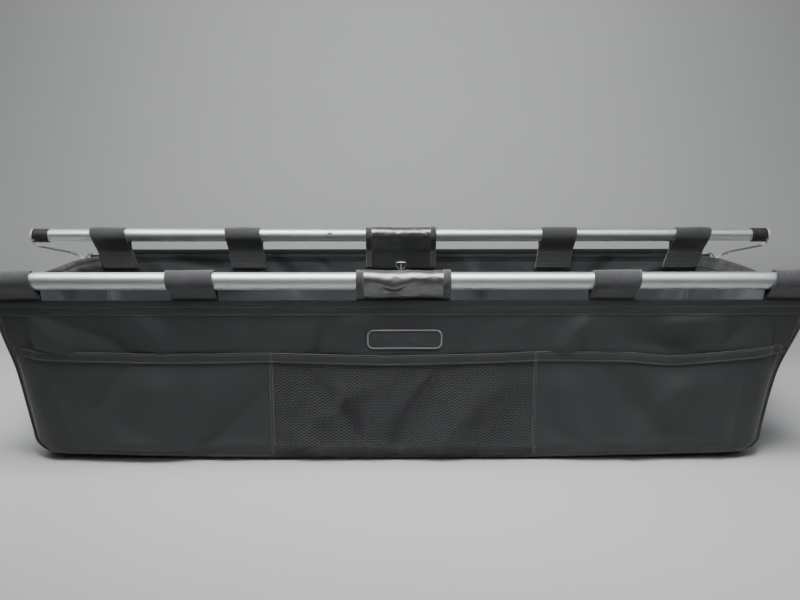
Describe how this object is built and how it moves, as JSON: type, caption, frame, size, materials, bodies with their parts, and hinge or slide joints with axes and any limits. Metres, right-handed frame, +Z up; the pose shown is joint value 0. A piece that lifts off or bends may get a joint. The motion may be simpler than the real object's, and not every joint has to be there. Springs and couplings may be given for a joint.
{
  "type": "bed cargo bar",
  "caption": "Pair of telescoping tubular cross bars for a pickup bed, carrying an open-topped fabric cargo sling on hook-and-loop webbing, with outer pockets and corner ties.",
  "frame": {"origin": "middle of the sling's underside, where it meets the bed floor", "axes": "+X along the bars, to the right as seen from the tailgate; +Y towards the cab; +Z up"},
  "size_m": [1.6, 0.5442, 0.323],
  "materials": {
    "aluminium": "satin anodised",
    "steel": "zinc plated",
    "spring_steel": "oiled",
    "nylon": "moulded",
    "rubber": "moulded, fine grain",
    "end_pad": "satin",
    "polyester": "coated plain weave",
    "mesh": "open knitted net",
    "hook_loop": "brushed hook-and-loop webbing",
    "vinyl": "soft satin vinyl",
    "patch": "stitched patch",
    "shock_cord": "braided sheath"
  },
  "bodies": {
    "sling": {"base": "polyester", "front_wall": "polyester", "rear_wall": "polyester", "left_wall": "polyester", "right_wall": "polyester", "divider": "polyester", "left_pocket": "polyester", "mesh_pocket": "mesh", "right_pocket": "polyester", "patch": "patch", "front_divider_ring": "steel", "rear_divider_ring": "steel", "front_left_mid_strap": "hook_loop", "front_left_end_strap": "hook_loop", "front_right_mid_strap": "hook_loop", "front_right_end_strap": "hook_loop", "front_centre_wrap": "vinyl", "rear_left_mid_strap": "hook_loop", "rear_left_end_strap": "hook_loop", "rear_right_mid_strap": "hook_loop", "rear_right_end_strap": "hook_loop", "rear_centre_wrap": "vinyl", "rear_centre_tube": "aluminium", "rear_spring_seat": "nylon", "rear_seat_rivet": "steel", "rear_push_spring": "spring_steel", "front_centre_tube": "aluminium", "front_spring_seat": "nylon", "front_seat_rivet": "steel", "front_push_spring": "spring_steel", "left_corner_tab": "hook_loop", "right_corner_tab": "hook_loop"},
    "rear_cam": {"rear_cam_ring": "nylon"},
    "rear_lock_end": {"rear_lock_tube": "aluminium", "rear_cam_hub": "nylon", "rear_lock_end_cap": "rubber", "rear_lock_end_pad": "end_pad"},
    "rear_spring_end": {"rear_spring_tube": "aluminium", "rear_spring_plug": "nylon", "rear_spring_end_cap": "rubber", "rear_spring_end_pad": "end_pad"},
    "front_cam": {"front_cam_ring": "nylon"},
    "front_lock_end": {"front_lock_tube": "aluminium", "front_cam_hub": "nylon", "front_lock_end_cap": "rubber", "front_lock_end_pad": "end_pad"},
    "front_spring_end": {"front_spring_tube": "aluminium", "front_spring_plug": "nylon", "front_spring_end_cap": "rubber", "front_spring_end_pad": "end_pad"},
    "left_tie": {"left_corner_ring": "steel", "left_inner_hook": "steel", "left_tie_cord": "shock_cord", "left_outer_hook": "steel"},
    "right_tie": {"right_corner_ring": "steel", "right_inner_hook": "steel", "right_tie_cord": "shock_cord", "right_outer_hook": "steel"}
  },
  "joints": [
    {"name": "rear_lock_slide", "type": "slide", "parent": "sling", "child": "rear_cam", "axis": [1, 0, 0], "range_m": [-0.08, 0.15]},
    {"name": "rear_lock_twist", "type": "hinge", "parent": "rear_cam", "child": "rear_lock_end", "pos_m": [0.327, 0.254, 0.305], "axis": [1, 0, 0], "range_deg": [0, 120]},
    {"name": "rear_spring_slide", "type": "slide", "parent": "sling", "child": "rear_spring_end", "axis": [-1, 0, 0], "range_m": [-0.06, 0], "stiffness_N_per_m": 600, "springref_m": 0.02, "deforming": ["rear_push_spring"]},
    {"name": "front_lock_slide", "type": "slide", "parent": "sling", "child": "front_cam", "axis": [-1, 0, 0], "range_m": [-0.08, 0.15]},
    {"name": "front_lock_twist", "type": "hinge", "parent": "front_cam", "child": "front_lock_end", "pos_m": [-0.327, -0.254, 0.305], "axis": [-1, 0, 0], "range_deg": [0, 120]},
    {"name": "front_spring_slide", "type": "slide", "parent": "sling", "child": "front_spring_end", "axis": [1, 0, 0], "range_m": [-0.06, 0], "stiffness_N_per_m": 600, "springref_m": 0.02, "deforming": ["front_push_spring"]},
    {"name": "left_tie_swing", "type": "hinge", "parent": "sling", "child": "left_tie", "pos_m": [-0.6745, 0.259, 0.252], "axis": [0, 0, 1], "range_deg": [-2, 40]},
    {"name": "right_tie_swing", "type": "hinge", "parent": "sling", "child": "right_tie", "pos_m": [0.6745, 0.259, 0.252], "axis": [0, 0, 1], "range_deg": [-40, 2]}
  ]
}
